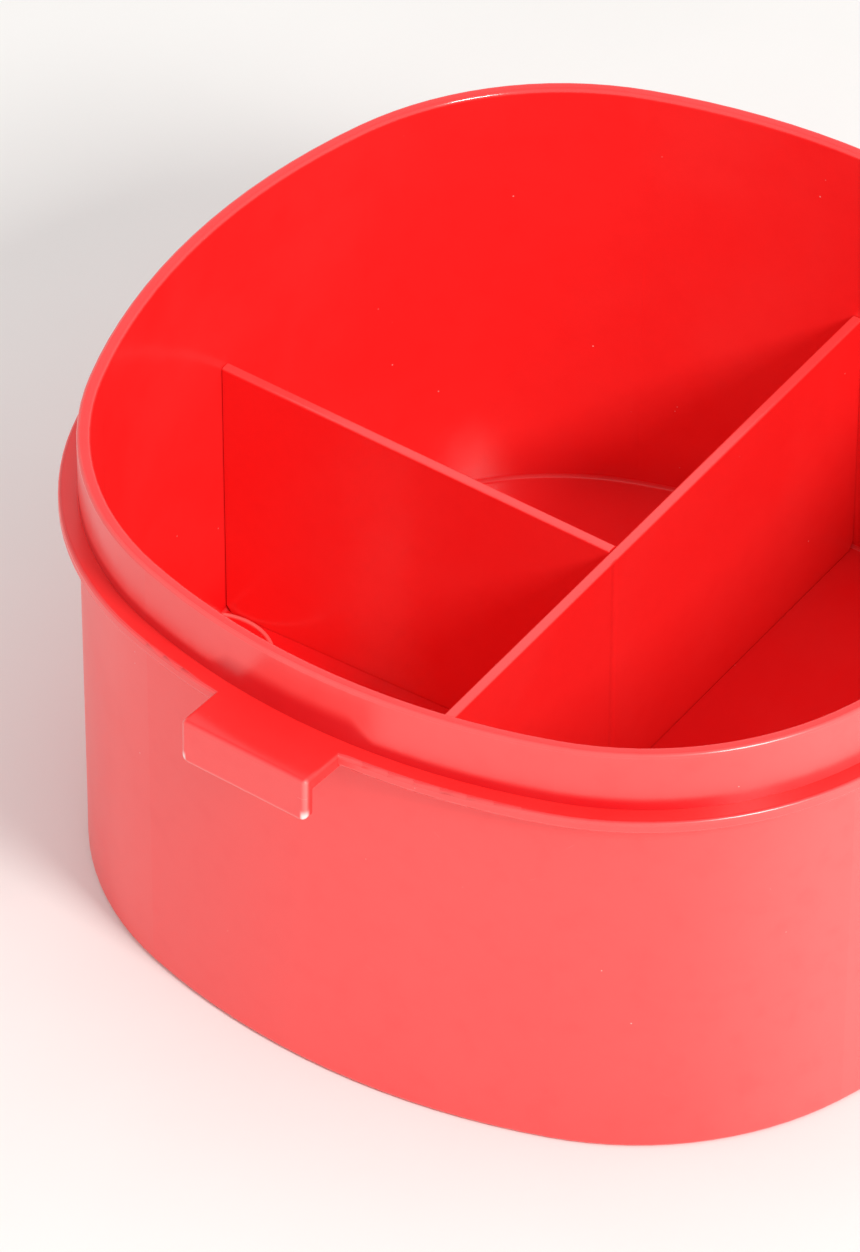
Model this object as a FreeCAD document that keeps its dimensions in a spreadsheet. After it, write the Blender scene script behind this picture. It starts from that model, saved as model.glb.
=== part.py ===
"""Tool storage caddy: a drafted round-cornered tub with two drop-in dividers.

Frame: origin at the middle of the underside, +Z up, +X along the long divider,
+Y along the cross divider. All lengths are in millimetres, angles in degrees.
"""
import FreeCAD
import Part
import Sketcher
import math
import os

DIMENSIONS = {
    # Plan of the rim: four bowed sides that run into four round corners
    "rim_half_width": 90.2,
    "side_radius": 134.5,
    "corner_radius": 63.0,
    # Tub
    "tub_height": 95.0,
    "wall": 2.6,
    "floor_thickness": 3.0,
    "draft": 1.0,
    "floor_rounding": 0.8,
    "foot_rounding": 1.2,
    "rim_rounding": 0.9,
    # Ledge below the rim
    "rim_height": 12.9,
    "flange_reach": 3.4,
    "flange_thickness": 2.7,
    "flange_rounding": 0.8,
    # Hook-shaped catches on the ledge
    "catch_width": 28.0,
    "catch_reach": 9.0,
    "catch_drop": 9.6,
    "catch_wall": 2.2,
    "catch_turn": 3.7,
    "catch_corner": 1.6,
    "catch_rounding": 0.9,
    # Dividers and their seats in the floor
    "divider_top": 57.7,
    "divider_thickness": 2.2,
    "divider_rounding": 0.5,
    "cross_shift": 5.8,
    "cross_rise": 3.6,
    "seat_depth": 1.5,
    "seat_clearance": 0.12,
    "end_clearance": 0.15,
    "corner_relief": 0.6,
}

# Lengths closer than this count as the same
SAME = 0.01

doc = FreeCAD.newDocument("Caddy")
sheet = doc.addObject("Spreadsheet::Sheet", "Sizes")
for row, (alias, value) in enumerate(DIMENSIONS.items(), start=1):
    sheet.set(f"A{row}", alias)
    sheet.set(f"B{row}", str(value))
    sheet.setAlias(f"B{row}", alias)
doc.recompute()


def size(alias):
    """Current value of one cell of the sheet."""
    return float(sheet.get(alias))


def origin_part(body, role):
    """One of a body's own origin planes or axes."""
    return next(item for item in body.Origin.OriginFeatures if item.Role == role)


def new_body(label):
    body = doc.addObject("PartDesign::Body", label)
    body.Label = label
    return body


def new_sketch(body, name, role, lift=None):
    """Sketch on an origin plane, raised along the plane's normal by an expression."""
    sketch = body.newObject("Sketcher::SketchObject", name)
    sketch.AttachmentSupport = [(origin_part(body, role), "")]
    sketch.MapMode = "FlatFace"
    if lift:
        sketch.setExpression("AttachmentOffset.Base.z", lift)
    doc.recompute()
    return sketch


def bind(sketch, index, name, expression):
    """Name one constraint and tie it to the sheet."""
    sketch.renameConstraint(index, name)
    sketch.setExpression(f"Constraints.{name}", expression)


def draw_plan(sketch, grown, grown_by):
    """Closed plan outline, grown outwards from the rim's outer edge.

    grown is the expression of that growth and grown_by its present value. Each side
    is an arc about a centre on an axis, and each corner an arc tangent to two sides,
    so that an outline grown by any amount keeps the same eight centres.
    """
    side = size("side_radius") + grown_by
    corner = size("corner_radius") + grown_by
    inset = size("side_radius") - size("rim_half_width")
    reach = size("side_radius") - size("corner_radius")
    corner_at = (math.sqrt(2 * reach ** 2 - inset ** 2) - inset) / 2
    half_side = math.atan2(corner_at, corner_at + inset)
    up = FreeCAD.Vector(0, 0, 1)

    arcs = []
    for quarter in range(4):
        turn = quarter * math.pi / 2
        side_centre = FreeCAD.Vector(-inset * math.cos(turn), -inset * math.sin(turn), 0)
        circle = Part.Circle(side_centre, up, side)
        arcs.append(Part.ArcOfCircle(circle, turn - half_side, turn + half_side))
        diagonal = turn + math.pi / 4
        far = corner_at * math.sqrt(2)
        corner_centre = FreeCAD.Vector(far * math.cos(diagonal), far * math.sin(diagonal), 0)
        circle = Part.Circle(corner_centre, up, corner)
        arcs.append(Part.ArcOfCircle(circle, turn + half_side, turn + math.pi / 2 - half_side))
    sketch.addGeometry(arcs, False)

    start, end, centre = 1, 2, 3
    for number in range(8):
        sketch.addConstraint(
            Sketcher.Constraint("Tangent", number, end, (number + 1) % 8, start)
        )
    for number in (2, 4, 6):
        sketch.addConstraint(Sketcher.Constraint("Equal", 0, number))
        sketch.addConstraint(Sketcher.Constraint("Equal", 1, number + 1))
    index = sketch.addConstraint(Sketcher.Constraint("Radius", 0, side))
    bind(sketch, index, "side", f"Sizes.side_radius + ({grown})")
    index = sketch.addConstraint(Sketcher.Constraint("Radius", 1, corner))
    bind(sketch, index, "corner", f"Sizes.corner_radius + ({grown})")
    for quarter, name in enumerate(("east", "north", "west", "south")):
        across = "DistanceX" if quarter % 2 == 0 else "DistanceY"
        origin_axis = -1 if quarter % 2 == 0 else -2
        sketch.addConstraint(
            Sketcher.Constraint("PointOnObject", 2 * quarter, centre, origin_axis)
        )
        ends = (2 * quarter, centre, -1, 1) if quarter < 2 else (-1, 1, 2 * quarter, centre)
        index = sketch.addConstraint(Sketcher.Constraint(across, *ends, inset))
        bind(sketch, index, name, SIDE_INSET)
    doc.recompute()


def draw_polygon(sketch, corners):
    """Closed polygon whose corners are pairs of expressions, measured from the origin."""
    values = [[sheet_value(text) for text in corner] for corner in corners]
    count = len(corners)
    for number in range(count):
        here = FreeCAD.Vector(*values[number], 0)
        there = FreeCAD.Vector(*values[(number + 1) % count], 0)
        sketch.addGeometry(Part.LineSegment(here, there), False)
    for number in range(count):
        sketch.addConstraint(
            Sketcher.Constraint("Coincident", number, 2, (number + 1) % count, 1)
        )
    for number, (along, up) in enumerate(corners):
        for kind, letter, text, value in (
            ("DistanceX", "x", along, values[number][0]),
            ("DistanceY", "y", up, values[number][1]),
        ):
            index = sketch.addConstraint(
                Sketcher.Constraint(kind, -1, 1, number, 1, value)
            )
            bind(sketch, index, f"{letter}{number}", text)
    doc.recompute()


def sheet_value(expression):
    """Present value of an expression that names cells of the sheet."""
    return float(sheet.evalExpression(expression))


def solid_feature(body, kind, name, sketch, length, taper=None, symmetric=False):
    """Pad or pocket of a sketch, with its length and draft tied to the sheet."""
    feature = body.newObject(f"PartDesign::{kind}", name)
    feature.Profile = sketch
    feature.setExpression("Length", length)
    if taper:
        feature.setExpression("TaperAngle", taper)
    if symmetric:
        feature.SideType = "Symmetric"
    doc.recompute()
    return feature


def middle(edge):
    """Point half way along an edge."""
    return edge.valueAt((edge.FirstParameter + edge.LastParameter) / 2)


def near(value, target):
    return abs(value - target) < SAME


def level(edge, height):
    """Whether an edge lies flat at a height."""
    box = edge.BoundBox
    return near(box.ZMin, height) and near(box.ZMax, height)


def round_edges(body, name, radius, wanted):
    """Fillet the edges of the body so far that a test picks out."""
    base = body.Tip
    edges = [f"Edge{number}" for number, edge in enumerate(base.Shape.Edges, 1) if wanted(edge)]
    fillet = body.newObject("PartDesign::Fillet", name)
    fillet.Base = (base, edges)
    fillet.setExpression("Radius", radius)
    doc.recompute()
    return fillet


# Heights that several features share
LEDGE_TOP = "Sizes.tub_height - Sizes.rim_height"
LEDGE_UNDER = f"{LEDGE_TOP} - Sizes.flange_thickness"
CATCH_END = f"{LEDGE_TOP} - Sizes.catch_drop"
SEAT = "Sizes.floor_thickness - Sizes.seat_depth"

# Middle of a side's arc, and a catch's outer face measured from there
SIDE_INSET = "Sizes.side_radius - Sizes.rim_half_width"
CATCH_FACE = "Sizes.side_radius + Sizes.flange_reach + Sizes.catch_reach"

# Dividers: half of the thickness, and how far their lower corners stand back
HALF = "Sizes.divider_thickness / 2"
RELIEF = "(Sizes.floor_rounding + Sizes.corner_relief)"
RELIEF_TOP = f"Sizes.floor_thickness + {RELIEF}"

# Outer face of the cross divider, measured from the tub's middle line
CROSS_ASIDE = f"abs(Sizes.cross_shift) + {HALF}"


def wall_inset(height):
    """How far the inner wall at a height lies inside the rim's outer outline."""
    return f"(Sizes.wall + (Sizes.tub_height - ({height})) * tan(Sizes.draft))"


def inner_reach(height, aside="0"):
    """Distance from the middle of the tub to a side's inner wall, measured along an axis.

    aside is how far beside the axis the line runs.
    """
    radius = f"(Sizes.side_radius - {wall_inset(height)})"
    return f"(sqrt({radius}^2 - ({aside})^2) - ({SIDE_INSET}))"


def catch_depth(point):
    """How far out a point lies along the nearer catch's middle line, from its side's centre."""
    turn = math.radians(size("catch_turn"))
    aside = point.y if point.x < 0 else -point.y
    return (abs(point.x) + sheet_value(SIDE_INSET)) * math.cos(turn) + aside * math.sin(turn)


def is_ledge_edge(edge):
    """Outer edges of the ledge and of the catches that continue it."""
    radii = ("side_radius", "corner_radius")
    if hasattr(edge.Curve, "Radius"):
        radius = edge.Curve.Radius
        on_ledge = any(near(radius, size(r) + size("flange_reach")) for r in radii)
        return on_ledge or near(radius, size("catch_rounding"))
    return catch_depth(middle(edge)) > size("side_radius") + size("flange_reach") / 2


def is_catch_end(edge):
    """Short bottom edges at the two ends of each catch's lip."""
    return level(edge, sheet_value(CATCH_END)) and near(edge.Length, size("catch_wall"))


def is_catch_corner(edge):
    """Upright edges at the outer corners of the catches."""
    box = edge.BoundBox
    upright = near(box.XLength, 0) and near(box.YLength, 0)
    return upright and near(catch_depth(middle(edge)), sheet_value(CATCH_FACE))


def build_tub():
    """One moulding: drafted wall, floor, rim, ledge and two hook-shaped catches."""
    body = new_body("tub")

    foot = "-Sizes.tub_height * tan(Sizes.draft)"
    sketch = new_sketch(body, "FootPlan", "XY_Plane")
    draw_plan(sketch, foot, sheet_value(foot))
    solid_feature(body, "Pad", "Wall", sketch, "Sizes.tub_height", taper="Sizes.draft")

    sketch = new_sketch(body, "LedgePlan", "XY_Plane", lift=LEDGE_UNDER)
    draw_plan(sketch, "Sizes.flange_reach", size("flange_reach"))
    solid_feature(body, "Pad", "Ledge", sketch, "Sizes.flange_thickness")

    root = "-(Sizes.side_radius - Sizes.wall)"
    face = f"-({CATCH_FACE})"
    lip = f"{face} + Sizes.catch_wall"
    sketch = new_sketch(body, "CatchProfile", "XZ_Plane")
    sketch.AttachmentOffset = FreeCAD.Placement(
        FreeCAD.Vector(), FreeCAD.Rotation(FreeCAD.Vector(0, 1, 0), -size("catch_turn"))
    )
    sketch.setExpression("AttachmentOffset.Base.x", SIDE_INSET)
    sketch.setExpression("AttachmentOffset.Rotation.Angle", "-Sizes.catch_turn")
    draw_polygon(
        sketch,
        [
            (root, LEDGE_TOP),
            (root, LEDGE_UNDER),
            (lip, LEDGE_UNDER),
            (lip, CATCH_END),
            (face, CATCH_END),
            (face, LEDGE_TOP),
        ],
    )
    catch = solid_feature(body, "Pad", "Catch", sketch, "Sizes.catch_width", symmetric=True)
    pair = body.newObject("PartDesign::PolarPattern", "CatchPair")
    pair.Originals = [catch]
    pair.Axis = (origin_part(body, "Z_Axis"), [""])
    pair.Angle = 360
    pair.Occurrences = 2
    body.Tip = pair
    doc.recompute()

    sketch = new_sketch(body, "CavityPlan", "XY_Plane", lift="Sizes.tub_height")
    draw_plan(sketch, "-Sizes.wall", -size("wall"))
    depth = "Sizes.tub_height - Sizes.floor_thickness"
    solid_feature(body, "Pocket", "Cavity", sketch, depth, taper="-Sizes.draft")

    ledge_top = sheet_value(LEDGE_TOP)
    ledge_under = sheet_value(LEDGE_UNDER)
    rim = size("tub_height")
    floor = size("floor_thickness")
    round_edges(body, "CatchEnds", "Sizes.catch_corner", is_catch_end)
    round_edges(body, "CatchCorners", "Sizes.catch_rounding", is_catch_corner)
    round_edges(
        body, "LedgeTop", "Sizes.flange_rounding",
        lambda edge: level(edge, ledge_top) and is_ledge_edge(edge),
    )
    round_edges(
        body, "LedgeUnder", "Sizes.flange_rounding",
        lambda edge: level(edge, ledge_under) and hasattr(edge.Curve, "Radius") and is_ledge_edge(edge),
    )
    round_edges(body, "Rim", "Sizes.rim_rounding", lambda edge: level(edge, rim))
    round_edges(body, "Foot", "Sizes.foot_rounding", lambda edge: level(edge, 0))
    round_edges(body, "FloorEdge", "Sizes.floor_rounding", lambda edge: level(edge, floor))

    slot = f"{HALF} + Sizes.seat_clearance"
    long_end = f"{inner_reach('Sizes.floor_thickness')} - {RELIEF} + Sizes.seat_clearance"
    cross_end = (
        f"{inner_reach('Sizes.floor_thickness', CROSS_ASIDE)} - {RELIEF} + Sizes.seat_clearance"
    )
    left = f"Sizes.cross_shift - ({slot})"
    right = f"Sizes.cross_shift + {slot}"
    sketch = new_sketch(body, "SeatPlan", "XY_Plane", lift="Sizes.floor_thickness")
    draw_polygon(
        sketch,
        [
            (f"-({long_end})", f"-({slot})"),
            (long_end, f"-({slot})"),
            (long_end, slot),
            (right, slot),
            (right, cross_end),
            (left, cross_end),
            (left, slot),
            (f"-({long_end})", slot),
        ],
    )
    solid_feature(body, "Pocket", "Seats", sketch, "Sizes.seat_depth")
    return body


def round_top(body, name):
    """Take the sharpness off a divider's top edge."""
    top = size("divider_top")
    round_edges(
        body, name, "Sizes.divider_rounding",
        lambda edge: edge.BoundBox.ZMin > top - SAME and edge.Length > 2 * size("divider_thickness"),
    )


def build_long_divider():
    """Plate across the whole tub, which stands in its seat and wedges between the walls."""
    body = new_body("long_divider")
    gap = "Sizes.end_clearance"
    foot = f"{inner_reach('Sizes.floor_thickness')} - {RELIEF}"
    shoulder = f"{inner_reach(RELIEF_TOP)} - {gap}"
    top = f"{inner_reach('Sizes.divider_top')} - {gap}"
    sketch = new_sketch(body, "LongProfile", "XZ_Plane")
    draw_polygon(
        sketch,
        [
            (f"-({foot})", SEAT),
            (foot, SEAT),
            (foot, "Sizes.floor_thickness"),
            (shoulder, RELIEF_TOP),
            (top, "Sizes.divider_top"),
            (f"-({top})", "Sizes.divider_top"),
            (f"-({shoulder})", RELIEF_TOP),
            (f"-({foot})", "Sizes.floor_thickness"),
        ],
    )
    solid_feature(
        body, "Pad", "LongPlate", sketch, "Sizes.divider_thickness", symmetric=True
    )
    round_top(body, "LongTop")
    return body


def build_cross_divider():
    """Shorter plate from the long divider to the side wall, where its top edge is higher."""
    body = new_body("cross_divider")
    gap = "Sizes.end_clearance"
    inner_end = f"{HALF} + {gap}"
    foot = f"{inner_reach('Sizes.floor_thickness', CROSS_ASIDE)} - {RELIEF}"
    shoulder = f"{inner_reach(RELIEF_TOP, CROSS_ASIDE)} - {gap}"
    wall_end = "Sizes.divider_top + Sizes.cross_rise"
    top = f"{inner_reach(wall_end, CROSS_ASIDE)} - {gap}"
    sketch = new_sketch(body, "CrossProfile", "YZ_Plane", lift="Sizes.cross_shift")
    draw_polygon(
        sketch,
        [
            (inner_end, SEAT),
            (foot, SEAT),
            (foot, "Sizes.floor_thickness"),
            (shoulder, RELIEF_TOP),
            (top, wall_end),
            (inner_end, "Sizes.divider_top"),
        ],
    )
    solid_feature(
        body, "Pad", "CrossPlate", sketch, "Sizes.divider_thickness", symmetric=True
    )
    round_top(body, "CrossTop")
    return body


def check(bodies):
    """Stop if any feature failed or any piece is not one valid solid."""
    for item in doc.Objects:
        if {"Invalid", "Error"} & set(item.State):
            raise RuntimeError(f"{item.Name} failed: {item.State}")
    for body in bodies:
        if body.Shape.isNull() or not body.Shape.isValid() or len(body.Shape.Solids) != 1:
            raise RuntimeError(f"{body.Label} is not one valid solid")


pieces = [build_tub(), build_long_divider(), build_cross_divider()]
doc.recompute()
check(pieces)
os.makedirs("parts", exist_ok=True)
for piece in pieces:
    piece.Shape.exportStep(f"parts/{piece.Label}.step")
    print(f"{piece.Label}: {piece.Shape.Volume / 1000:.1f} cm3")
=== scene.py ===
"""Looks of the tool storage caddy: red moulded plastic on a pale floor under soft light."""
import bmesh
import bpy
import math
from mathutils import Matrix, Vector


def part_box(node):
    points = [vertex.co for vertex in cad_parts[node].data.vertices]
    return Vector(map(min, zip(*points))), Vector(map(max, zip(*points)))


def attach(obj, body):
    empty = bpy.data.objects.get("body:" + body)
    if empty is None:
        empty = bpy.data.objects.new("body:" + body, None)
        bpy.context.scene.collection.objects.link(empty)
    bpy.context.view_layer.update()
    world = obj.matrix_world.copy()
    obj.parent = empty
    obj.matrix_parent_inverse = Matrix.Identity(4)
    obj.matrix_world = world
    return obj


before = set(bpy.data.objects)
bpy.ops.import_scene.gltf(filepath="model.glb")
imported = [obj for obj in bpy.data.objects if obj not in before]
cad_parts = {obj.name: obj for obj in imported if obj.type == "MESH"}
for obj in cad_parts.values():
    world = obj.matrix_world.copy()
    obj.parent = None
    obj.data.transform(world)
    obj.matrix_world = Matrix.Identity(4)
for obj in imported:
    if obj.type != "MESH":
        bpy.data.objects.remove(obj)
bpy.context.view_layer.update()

MM = 0.001
IMAGE_HEIGHT = 1252

# Camera: where it looks, and from where
AIM = Vector((-21.13, 23.25, 47.5)) * MM
HEADING = math.radians(56.67)
PITCH = math.radians(40.52)
ROLL = math.radians(0.55)
CAMERA_DISTANCE = 3065.5 * MM
SENSOR = 36.0
FOCAL_PIXELS = 16799.5

# Level directions seen from the camera
RIGHT = Vector((math.cos(HEADING), -math.sin(HEADING), 0))
AWAY = Vector((math.sin(HEADING), math.cos(HEADING), 0))
UP = Vector((0, 0, 1))

# Light: a white room all round, and a soft lamp at the right, on the camera's side. LAMP_WAY
# points to the lamp from the tub: its parts go right, away from the camera and up.
ROOM_STRENGTH = 0.80
ROOM_WHITE = (1.0, 1.0, 1.0, 1)
LAMP_WAY = (0.57, -0.82, 0.83)
LAMP_REACH = 1.6
LAMP_SIDE = 0.34
LAMP_WATTS = 16.0
LAMP_WHITE = (1.0, 0.985, 0.96)

# Colours, linear
DEEP_RED = (0.95, 0.022, 0.022, 1)
# Mottle, and painted shade low down inside
MOTTLE_AND_SHADE_RED = (0.84, 0.008, 0.011, 1)
# Deepest painted shade: in the band over the ledge and in the floor corner
DEEP_SHADE_RED = (0.64, 0.001, 0.006, 1)
# Painted sheen outside, over a handling haze
SHEEN_HAZE_RED = (0.94, 0.062, 0.060, 1)
# Flow clouds, and painted highlights on edges, the catch lip, plate tops and the floor bead
PALE_AND_HIGHLIGHT_RED = (0.96, 0.27, 0.25, 1)
# Dust and scratches, and the side painted paler as if lit
DUST_AND_LIGHT = (0.96, 0.74, 0.70, 1)
# Painted glints on the catch's tips
GLINT_WHITE = (0.98, 0.90, 0.87, 1)
FLOOR_WHITE = (0.90, 0.893, 0.875, 1)
FLOOR_SHADE = (0.875, 0.868, 0.85, 1)

tub_low, tub_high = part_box("tub")

# Places and lengths on the object, in millimetres. The catches stand on sides that bow round a
# centre SIDE_INSET beyond the tub's middle, and they are turned round it by CATCH_TURN.
RIM = tub_high.z / MM
SHOULDER = RIM - 26.0
LEDGE_TOP = RIM - 12.9
LEDGE_REACH = tub_high.y / MM
LEDGE_SINK = LEDGE_TOP - 1.3
LEDGE_SINK_HALF = 5.0
# Heights of the band of painted shade over the ledge, away from a catch and over one
RECESS_HEIGHT = 3.2
RECESS_OVER_CATCH = 7.5
SIDE_INSET = 44.3
CATCH_TURN = math.radians(3.7)
CATCH_HALF = 14.0
CATCH_START = SIDE_INSET + LEDGE_REACH + 0.5
CATCH_FACE = 146.9
CATCH_END = LEDGE_TOP - 9.6
FLOOR_LEVEL = 3.0
# Painted shade inside starts below DARK_BELOW and is full below DARKEST_BELOW
DARK_BELOW = 16.0
DARKEST_BELOW = 4.0
RING_MIDDLE = Vector((-7.7, 81.2))
RING_RADIUS = 11.9
RING_BEAD = 0.45
INNER_WALL = 85.9
PLATE_SINK = 2.9
PLATE_SINK_HALF = 1.3

# Way that the side of the tub's wall faces which gets painted light, paler as if the lamp lit it
# more
LIT_SIDE_WAY = (0.5495, -0.8355, 0.0)

# Plastic: the sizes of its grain, in millimetres
FLOW_GRAIN = 42.0
WAVE_GRAIN = 24.0
MOTTLE_GRAIN = 5.0
PEEL_GRAIN = 2.5
SCRATCH_GRAIN = 9.0
SCRATCH_WIDTH = 0.04
SPECK_PATCH = 24.0
SPECK_SPACING = 2.8
SPECK_RADIUS = 0.20

# Plastic: the noise level over which a scratch shows, and the share of cells that hold a speck
SCRATCH_LEVEL = 0.68
SPECK_SHARE = 0.10

# Plastic: how strongly each thing colours the surface, from 0 to 1
FLOW_PALE = 0.03
MOTTLE_DARK = 0.12
SCRATCH_PALE = 0.10
SPECK_PALE = 0.55
# Painted light among these: sheen on tops, shade and reflection over the ledge, a lit side,
# highlights and glints, and shade low inside
TOP_SHEEN = 0.12
RECESS_CLEAR = 0.95
RECESS_SHADE = 0.9
LIT_SIDE_PALE = 0.10
EDGE_HIGHLIGHT = 0.07
LIP_PALE = 0.45
TIP_GLINT = 0.9
LOW_SHADE = 0.75
CORNER_SHADE = 0.3
PLATE_TOP_HIGHLIGHT = 0.14

# Plastic: gloss. Flow clouds change the roughness by FLOW_ROUGH, and the roughness of a broad
# surface stays clear of 0.274 with them, where a denoised render would draw level lines.
PLASTIC_IOR = 1.49
PLASTIC_SPECULAR = 0.75
INSIDE_ROUGH = 0.22
OUTSIDE_ROUGH = 0.315
PLATE_ROUGH = 0.225
RING_ROUGH = 0.315
FLOW_ROUGH = (-0.03, 0.04)
SCRATCH_ROUGH = 0.15
CORNER_ROUGH = 0.50
EDGE_POLISH = 0.08
CATCH_POLISH = 0.8 * EDGE_POLISH

# Plastic: relief. The waves' height is in millimetres, and the other heights are shares of it.
PLASTIC_BUMP = 0.35
WAVE_HEIGHT = 0.10
PEEL_SHARE = 0.06
SPECK_RISE = 0.4
LEDGE_SINK_SHARE = 1.5
PLATE_SINK_SHARE = 4.0

# Floor
FLOOR_HALF = 6.0
FLOOR_ROUGH = 0.85
FLOOR_SPECULAR = 0.2
FLOOR_CLOUDS = 90.0
FLOOR_GRAIN = 3.5
FLOOR_BUMP = 0.12
FLOOR_HEIGHT = 0.3


class Graph:
    """A material's nodes, with short ways to add and join them."""

    def __init__(self, name):
        self.material = bpy.data.materials.new(name)
        self.material.use_nodes = True
        self.tree = self.material.node_tree
        self.shader = self.tree.nodes["Principled BSDF"]

    def put(self, socket, value):
        """Give a socket a value, or join another node's output to it."""
        if isinstance(value, bpy.types.NodeSocket):
            self.tree.links.new(value, socket)
        else:
            socket.default_value = value

    def node(self, kind, inputs, **settings):
        made = self.tree.nodes.new(kind)
        for name, value in settings.items():
            setattr(made, name, value)
        for key, value in inputs.items():
            self.put(made.inputs[key], value)
        return made

    def math(self, operation, first, second=0.0):
        made = self.node("ShaderNodeMath", {0: first, 1: second}, operation=operation)
        return made.outputs[0]

    def times(self, product, *factors):
        for factor in factors:
            product = self.math("MULTIPLY", product, factor)
        return product

    def away_from(self, value, middle):
        """Distance of a value from a middle one, either way."""
        return self.math("ABSOLUTE", self.math("SUBTRACT", value, middle))

    def ease(self, value, low, high, start=0.0, end=1.0):
        """Smooth step from start to end as value goes from low to high."""
        made = self.node(
            "ShaderNodeMapRange",
            {"Value": value, "From Min": low, "From Max": high, "To Min": start, "To Max": end},
            interpolation_type="SMOOTHSTEP",
        )
        return made.outputs["Result"]

    def noise(self, place, grain, detail, distortion=0.0):
        """Cloudy noise whose lumps are about grain millimetres wide."""
        made = self.node(
            "ShaderNodeTexNoise",
            {"Vector": place, "Scale": 1 / grain, "Detail": detail, "Distortion": distortion},
        )
        return made.outputs["Fac"]

    def mix(self, factor, first, second):
        """Colour that goes from the first to the second as factor goes from 0 to 1."""
        made = self.node("ShaderNodeMix", {}, data_type="RGBA")
        for name, value in (("Factor", factor), ("A", first), ("B", second)):
            kind = "VALUE" if name == "Factor" else "RGBA"
            socket = next(s for s in made.inputs if s.name == name and s.type == kind)
            self.put(socket, value)
        return next(s for s in made.outputs if s.type == "RGBA")

    def split(self, vector):
        """The three parts of a vector."""
        return self.node("ShaderNodeSeparateXYZ", {0: vector}).outputs

    def dot(self, first, second):
        made = self.node("ShaderNodeVectorMath", {0: first, 1: second}, operation="DOT_PRODUCT")
        return made.outputs["Value"]

    def level_radial(self, east, north):
        """Level direction from the object's middle to a place."""
        across = self.node("ShaderNodeCombineXYZ", {"X": east, "Y": north}).outputs["Vector"]
        made = self.node("ShaderNodeVectorMath", {0: across}, operation="NORMALIZE")
        return made.outputs["Vector"]

    def surface(self):
        """Place on the object in millimetres, and the way its surface faces there."""
        coords = self.node("ShaderNodeTexCoord", {})
        scaled = self.node(
            "ShaderNodeVectorMath",
            {0: coords.outputs["Object"], "Scale": 1 / MM},
            operation="SCALE",
        )
        return scaled.outputs["Vector"], coords.outputs["Normal"]

    def bump(self, relief, strength, height):
        """Shade the surface by a relief that is height millimetres deep."""
        made = self.node(
            "ShaderNodeBump", {"Strength": strength, "Distance": height * MM, "Height": relief}
        )
        self.put(self.shader.inputs["Normal"], made.outputs["Normal"])


def specks(graph, place):
    """Sparse round dots: a small share of the cells holds one each."""
    cells = graph.node("ShaderNodeTexVoronoi", {"Vector": place, "Scale": 1 / SPECK_SPACING})
    radius = SPECK_RADIUS / SPECK_SPACING
    dot = graph.ease(cells.outputs["Distance"], radius, 0.4 * radius)
    chance = graph.node("ShaderNodeSeparateColor", {0: cells.outputs["Color"]}).outputs[0]
    return graph.times(dot, graph.math("LESS_THAN", chance, SPECK_SHARE))


def hairlines(graph, place):
    """Thin curved scratches: level lines of a noise, broken up into short stretches."""
    level = graph.away_from(graph.noise(place, SCRATCH_GRAIN, 0.0), 0.5)
    slope = 0.9 / SCRATCH_GRAIN
    thin = graph.ease(level, SCRATCH_WIDTH * slope, 0.0)
    stretches = graph.noise(place, 0.7 * SCRATCH_GRAIN, 1.0)
    return graph.times(thin, graph.ease(stretches, SCRATCH_LEVEL, SCRATCH_LEVEL + 0.05))


def finish_plastic(graph, place, colour, rough, handled=None):
    """Shared finish of the moulded plastic: flow clouds, mottle, dust specks and orange peel.

    handled, where given, is how much a surface has been scratched. Returns the surface's relief.
    """
    clouds = graph.noise(place, FLOW_GRAIN, 3.0, 0.6)
    mottle = graph.noise(place, MOTTLE_GRAIN, 4.0)
    colour = graph.mix(graph.ease(clouds, 0.35, 0.8, 0.0, FLOW_PALE), colour, PALE_AND_HIGHLIGHT_RED)
    colour = graph.mix(graph.ease(mottle, 0.45, 0.8, 0.0, MOTTLE_DARK), colour, MOTTLE_AND_SHADE_RED)
    rough = graph.math("ADD", rough, graph.ease(clouds, 0.25, 0.75, *FLOW_ROUGH))
    if handled is not None:
        scratches = graph.times(hairlines(graph, place), handled)
        colour = graph.mix(graph.times(scratches, SCRATCH_PALE), colour, DUST_AND_LIGHT)
        rough = graph.math("ADD", rough, graph.times(scratches, SCRATCH_ROUGH))
    patches = graph.ease(graph.noise(place, SPECK_PATCH, 1.0), 0.46, 0.60)
    dust = graph.times(specks(graph, place), patches)
    colour = graph.mix(graph.times(dust, SPECK_PALE), colour, DUST_AND_LIGHT)
    graph.put(graph.shader.inputs["Base Color"], colour)
    graph.put(graph.shader.inputs["Roughness"], rough)
    graph.shader.inputs["IOR"].default_value = PLASTIC_IOR
    graph.shader.inputs["Specular IOR Level"].default_value = PLASTIC_SPECULAR

    peel = graph.times(graph.noise(place, PEEL_GRAIN, 1.0), PEEL_SHARE)
    relief = graph.math("ADD", peel, graph.noise(place, WAVE_GRAIN, 0.0))
    return graph.math("ADD", relief, graph.times(dust, SPECK_RISE))


def catch_place(graph, east, north):
    """Place in the nearer catch: out from its side's centre, and away from its middle line."""
    out = graph.math("ADD", graph.math("ABSOLUTE", east), SIDE_INSET)
    aside = graph.times(graph.math("SIGN", east), north)
    along, across = math.cos(CATCH_TURN), math.sin(CATCH_TURN)
    depth = graph.math("SUBTRACT", graph.times(out, along), graph.times(aside, across))
    from_middle = graph.math("ADD", graph.times(aside, along), graph.times(out, across))
    return depth, graph.math("ABSOLUTE", from_middle)


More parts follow.
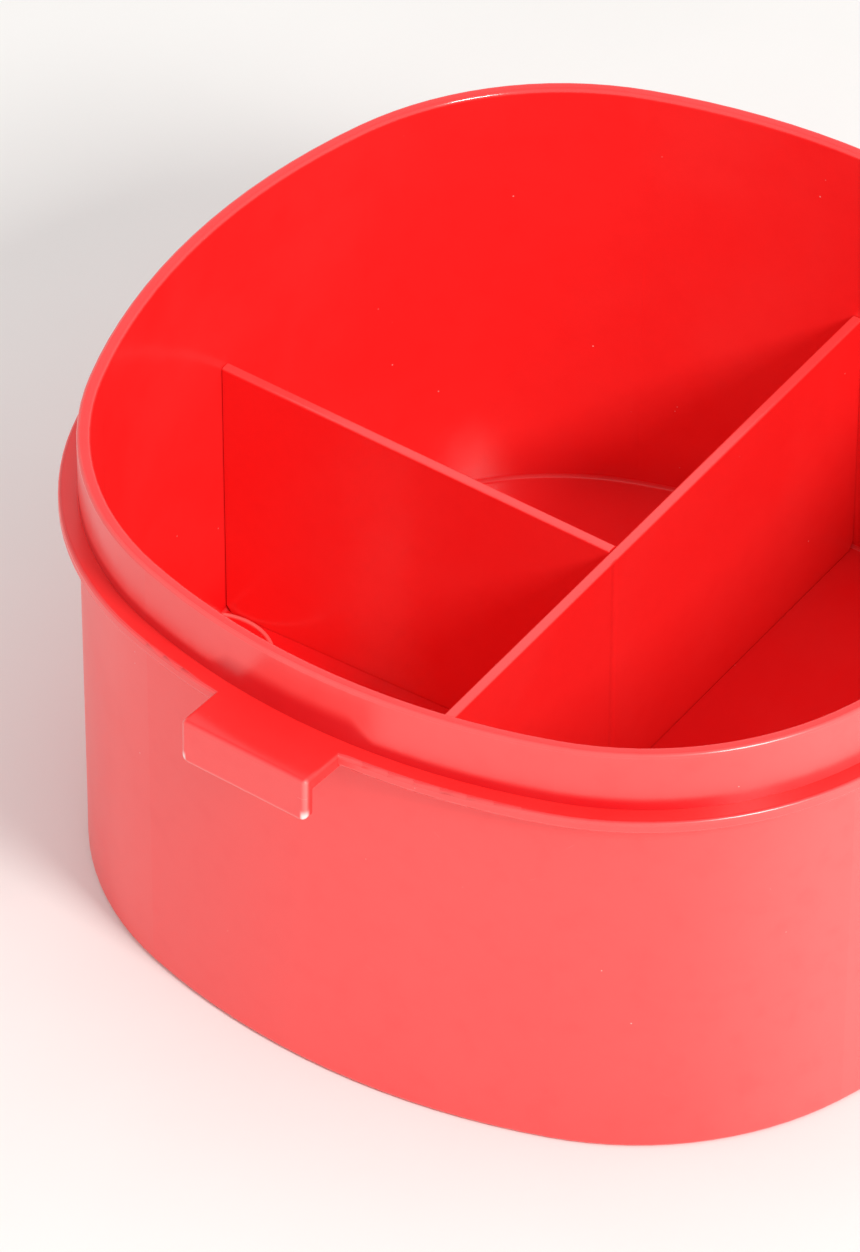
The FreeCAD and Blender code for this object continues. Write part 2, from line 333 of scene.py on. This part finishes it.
def ledge_shade_band(graph, height, from_middle):
    """Band over the ledge painted in shade and as a deep red reflection of the ledge, in place
    of the sheen; it is tallest over a catch.
    """
    tall = graph.ease(
        from_middle, CATCH_HALF + 5.0, CATCH_HALF - 1.0, RECESS_HEIGHT, RECESS_OVER_CATCH
    )
    over_ledge = graph.math("SUBTRACT", height, LEDGE_TOP)
    recess_shade = graph.ease(graph.math("DIVIDE", over_ledge, tall), 1.0, 0.45, 0.0, RECESS_CLEAR)
    return graph.times(recess_shade, graph.ease(over_ledge, -0.4, 0.1))


def catch_wear_and_glints(graph, colour, height, depth, from_middle, on_catch):
    """Pale the catch's lip edges, a painted highlight with some rubbing, and paint white glints
    on its two lower tips.
    """
    lip_low = graph.ease(height, CATCH_END + 1.3, CATCH_END + 0.3)
    lip_face = graph.ease(depth, CATCH_FACE - 1.6, CATCH_FACE - 0.6)
    lip_end = graph.ease(from_middle, CATCH_HALF - 1.0, CATCH_HALF - 0.2)
    lip = graph.math("MAXIMUM", lip_low, graph.times(lip_end, lip_face))
    # Painted highlight with some rubbing on the lip's edges
    colour = graph.mix(graph.times(lip, on_catch, LIP_PALE), colour, PALE_AND_HIGHLIGHT_RED)
    # Painted white glints on the two lower tips
    tip_low = graph.ease(height, CATCH_END + 3.0, CATCH_END + 1.2)
    tip_end = graph.ease(from_middle, CATCH_HALF - 1.3, CATCH_HALF - 0.6)
    return graph.mix(graph.times(tip_low, tip_end, lip_face, TIP_GLINT), colour, GLINT_WHITE)


def tub_plastic():
    """Deep red inside; outside a painted sheen over a handling haze, with painted shade,
    highlights and glints, and some rubbing on the catches.
    """
    graph = Graph("tub_plastic")
    place, normal = graph.surface()
    east, north, height = graph.split(place)

    # The way a place faces, and where on the tub it is
    looks_out = graph.ease(graph.dot(normal, graph.level_radial(east, north)), -0.10, 0.70)
    looks_up = graph.split(normal)[2]
    lean = graph.math("ABSOLUTE", looks_up)
    turning = graph.times(graph.ease(lean, 0.08, 0.35), graph.ease(lean, 0.97, 0.75))
    above = graph.ease(height, SHOULDER, SHOULDER + 6.0)
    edge = graph.times(turning, above)
    depth, from_middle = catch_place(graph, east, north)
    on_catch = graph.ease(depth, CATCH_START, CATCH_START + 1.5)

    # Painted sheen outside and on the tops over a handling haze, painted shade in the band over
    # the ledge, a side painted paler as if lit, and painted highlights along the edges
    recess_shade = ledge_shade_band(graph, height, from_middle)
    on_top = graph.times(graph.ease(looks_up, 0.15, 0.75, 0.0, TOP_SHEEN), above)
    outside = graph.math("MAXIMUM", looks_out, on_top)
    sheen_haze = graph.times(outside, graph.math("SUBTRACT", 1.0, recess_shade))
    colour = graph.mix(sheen_haze, DEEP_RED, SHEEN_HAZE_RED)
    # Painted shade and painted reflection of the ledge in the band over it
    colour = graph.mix(graph.times(recess_shade, looks_out, RECESS_SHADE), colour, DEEP_SHADE_RED)
    # Side painted paler, as if lit by the lamp
    lit_side = graph.ease(graph.dot(normal, LIT_SIDE_WAY), 0.0, 0.9, 0.0, LIT_SIDE_PALE)
    colour = graph.mix(graph.times(looks_out, lit_side), colour, DUST_AND_LIGHT)
    # Painted highlight along the rounded edges
    colour = graph.mix(graph.times(edge, EDGE_HIGHLIGHT), colour, PALE_AND_HIGHLIGHT_RED)
    # Painted highlight and rubbing on the catch's lip, painted glints on its tips
    colour = catch_wear_and_glints(graph, colour, height, depth, from_middle, on_catch)

    # Painted shade low down inside, most of all in the corner round the floor
    low = graph.ease(height, DARK_BELOW, DARKEST_BELOW)
    inside_low = graph.times(low, graph.ease(looks_out, 0.9, 0.2))
    corner = graph.times(turning, inside_low)
    colour = graph.mix(graph.times(inside_low, LOW_SHADE), colour, MOTTLE_AND_SHADE_RED)
    colour = graph.mix(graph.times(corner, CORNER_SHADE), colour, DEEP_SHADE_RED)

    # Duller outside and in the corner, polished along the edges and on the catches
    rough = graph.ease(outside, 0.0, 1.0, INSIDE_ROUGH, OUTSIDE_ROUGH)
    polish = graph.math(
        "MAXIMUM", graph.times(edge, EDGE_POLISH), graph.times(on_catch, CATCH_POLISH)
    )
    rough = graph.math("SUBTRACT", rough, polish)
    rough = graph.math("ADD", rough, graph.times(corner, CORNER_ROUGH))
    relief = finish_plastic(graph, place, colour, rough, looks_out)

    # Shallow sink in the inner wall behind the ledge
    near_sink = graph.ease(graph.away_from(height, LEDGE_SINK), LEDGE_SINK_HALF, 0.0)
    sink = graph.times(near_sink, graph.ease(looks_out, 0.3, 0.0), LEDGE_SINK_SHARE)
    graph.bump(graph.math("SUBTRACT", relief, sink), PLASTIC_BUMP, WAVE_HEIGHT)
    return graph.material


def divider_plastic():
    """Deep red plates with a painted highlight on their top edges."""
    graph = Graph("divider_plastic")
    place, normal = graph.surface()
    _, looks_north, looks_up = graph.split(normal)
    # Painted highlight on the plates' top edges
    edge = graph.ease(looks_up, 0.15, 0.8, 0.0, PLATE_TOP_HIGHLIGHT)
    colour = graph.mix(edge, DEEP_RED, PALE_AND_HIGHLIGHT_RED)
    relief = finish_plastic(graph, place, colour, PLATE_ROUGH)

    # Upright sink line on the long divider's plain side, opposite the cross divider
    east = graph.split(place)[0]
    near_sink = graph.ease(graph.away_from(east, PLATE_SINK), PLATE_SINK_HALF, 0.0)
    sink = graph.times(near_sink, graph.ease(looks_north, -0.5, -0.9), PLATE_SINK_SHARE)
    graph.bump(graph.math("SUBTRACT", relief, sink), PLASTIC_BUMP, WAVE_HEIGHT)
    return graph.material


def ring_plastic():
    """The tub's plastic, with a painted highlight on the raised bead's top."""
    graph = Graph("ring_plastic")
    place, normal = graph.surface()
    # Painted highlight on the bead's top
    bead_highlight = graph.ease(graph.split(normal)[2], 0.1, 0.9, 0.35, 0.75)
    colour = graph.mix(bead_highlight, DEEP_RED, PALE_AND_HIGHLIGHT_RED)
    relief = finish_plastic(graph, place, colour, RING_ROUGH)
    graph.bump(relief, PLASTIC_BUMP, WAVE_HEIGHT)
    return graph.material


def pale_floor():
    """Matt painted surface with a faint unevenness."""
    graph = Graph("pale_floor")
    place, _ = graph.surface()
    clouds = graph.noise(place, FLOOR_CLOUDS, 3.0)
    colour = graph.mix(graph.ease(clouds, 0.3, 0.7), FLOOR_WHITE, FLOOR_SHADE)
    graph.put(graph.shader.inputs["Base Color"], colour)
    graph.shader.inputs["Roughness"].default_value = FLOOR_ROUGH
    graph.shader.inputs["Specular IOR Level"].default_value = FLOOR_SPECULAR
    graph.bump(graph.noise(place, FLOOR_GRAIN, 4.0), FLOOR_BUMP, FLOOR_HEIGHT)
    return graph.material


def paint(node, material):
    """Give a CAD node one material on all its slots."""
    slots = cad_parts[node].data.materials
    slots.clear()
    slots.append(material)


def add_object(name, data):
    made = bpy.data.objects.new(name, data)
    bpy.context.scene.collection.objects.link(made)
    return made


def add_ring():
    """Half-sunk bead on the tub's floor: the part of a ring that the wall leaves."""
    bead = bmesh.new()
    steps, sides = 72, 10
    reach = (INNER_WALL - RING_MIDDLE.y) / RING_RADIUS
    start = math.asin(reach)
    turn = math.pi + 2 * start
    loops = []
    for step in range(steps + 1):
        angle = start - turn * step / steps
        out = Vector((math.cos(angle), math.sin(angle), 0))
        middle = Vector((*RING_MIDDLE, FLOOR_LEVEL)) + out * RING_RADIUS
        loop = []
        for side in range(sides):
            around = 2 * math.pi * side / sides
            point = middle + (out * math.cos(around) + UP * math.sin(around)) * RING_BEAD
            loop.append(bead.verts.new(point * MM))
        loops.append(loop)
    for here, there in zip(loops, loops[1:]):
        for side in range(sides):
            after = (side + 1) % sides
            bead.faces.new((here[side], here[after], there[after], there[side]))
    bead.faces.new(reversed(loops[0]))
    bead.faces.new(loops[-1])
    bmesh.ops.recalc_face_normals(bead, faces=bead.faces)
    mesh = bpy.data.meshes.new("floor_ring")
    bead.to_mesh(mesh)
    bead.free()
    mesh.polygons.foreach_set("use_smooth", [True] * len(mesh.polygons))
    mesh.materials.append(ring_plastic())
    ring = add_object("floor_ring", mesh)
    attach(ring, "tub")


def add_floor():
    mesh = bpy.data.meshes.new("floor")
    half = FLOOR_HALF
    corners = [(-half, -half, 0), (half, -half, 0), (half, half, 0), (-half, half, 0)]
    mesh.from_pydata(corners, [], [(0, 1, 2, 3)])
    mesh.materials.append(pale_floor())
    floor = add_object("floor", mesh)


def add_lamp():
    """Square soft lamp that faces the tub's middle."""
    data = bpy.data.lights.new("key", "AREA")
    data.shape = "SQUARE"
    data.size = LAMP_SIDE
    data.energy = LAMP_WATTS
    data.color = LAMP_WHITE
    lamp = add_object("key", data)
    middle = Vector((0, 0, (tub_low.z + tub_high.z) / 2))
    right, away, up = LAMP_WAY
    way = (RIGHT * right + AWAY * away + UP * up).normalized()
    lamp.location = middle + way * LAMP_REACH
    lamp.rotation_euler = way.to_track_quat("Z", "Y").to_euler()


def add_world():
    world = bpy.data.worlds.new("soft_room")
    world.use_nodes = True
    background = world.node_tree.nodes["Background"]
    background.inputs["Color"].default_value = ROOM_WHITE
    background.inputs["Strength"].default_value = ROOM_STRENGTH
    bpy.context.scene.world = world


def add_camera():
    data = bpy.data.cameras.new("camera")
    data.sensor_fit = "AUTO"
    data.sensor_width = SENSOR
    data.lens = FOCAL_PIXELS / IMAGE_HEIGHT * SENSOR
    data.clip_end = 3 * CAMERA_DISTANCE
    camera = add_object("camera", data)
    forward = AWAY * math.cos(PITCH) - UP * math.sin(PITCH)
    top = AWAY * math.sin(PITCH) + UP * math.cos(PITCH)
    across = RIGHT * math.cos(ROLL) + top * math.sin(ROLL)
    top = top * math.cos(ROLL) - RIGHT * math.sin(ROLL)
    turned = Matrix((across, top, -forward)).transposed().to_4x4()
    camera.matrix_world = Matrix.Translation(AIM - forward * CAMERA_DISTANCE) @ turned
    bpy.context.scene.camera = camera


paint("tub", tub_plastic())
dividers = divider_plastic()
paint("long_divider", dividers)
paint("cross_divider", dividers)
add_ring()

add_floor()
add_world()
add_lamp()
add_camera()
bpy.context.scene.view_settings.view_transform = "Standard"
